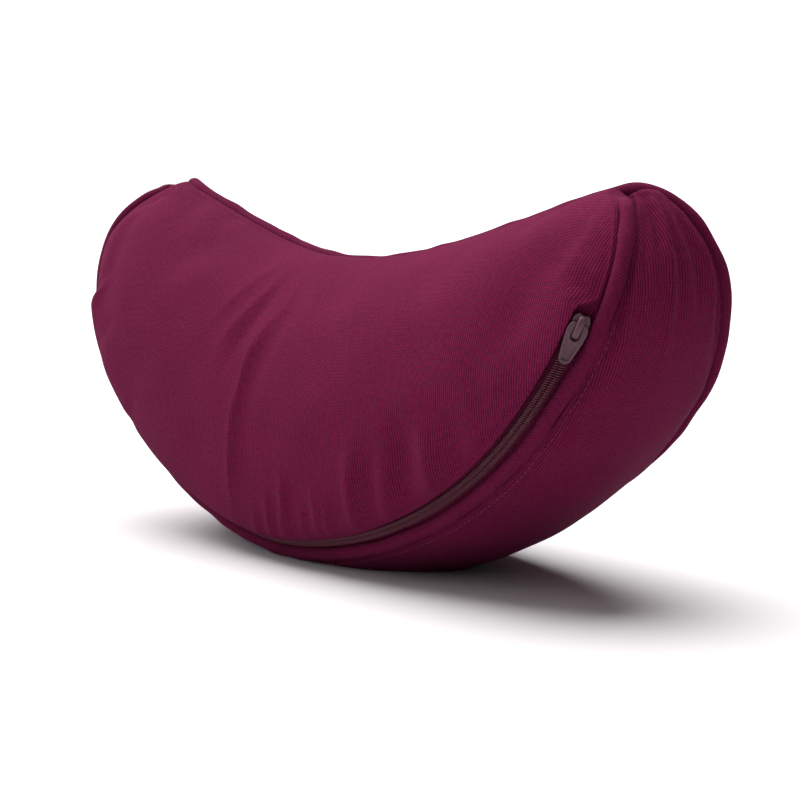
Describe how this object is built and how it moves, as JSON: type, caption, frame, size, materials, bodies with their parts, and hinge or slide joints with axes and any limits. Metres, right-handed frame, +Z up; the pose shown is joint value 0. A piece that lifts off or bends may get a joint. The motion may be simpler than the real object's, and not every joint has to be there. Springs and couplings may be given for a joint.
{
  "type": "crescent meditation cushion",
  "caption": "Crescent floor cushion standing on its outer edge: two faces, a leaf-shaped gusset, corded piping in the seams and a coil zip with a flat puller.",
  "frame": {"origin": "on the floor, below the middle of the cushion's box", "axes": "+X from the tip without the slider to the tip with it, +Y from the face beside the zip through the thickness, +Z up"},
  "size_m": [0.4586, 0.1524, 0.2016],
  "materials": {
    "canvas": "matt plain-weave cotton canvas, burgundy",
    "piping": "the same canvas, cut on the bias over a cord",
    "zip_tape": "dark ribbed polyester tape",
    "zip_coil": "satin nylon coil",
    "puller_metal": "satin enamel, dusty mauve"
  },
  "bodies": {
    "root": {"cushion_body": "canvas", "piping_rim": "piping", "piping_front": "piping", "zip_tape": "zip_tape", "zip_chain": "zip_coil", "zip_slider": "puller_metal", "zip_puller": "puller_metal"}
  },
  "joints": []
}
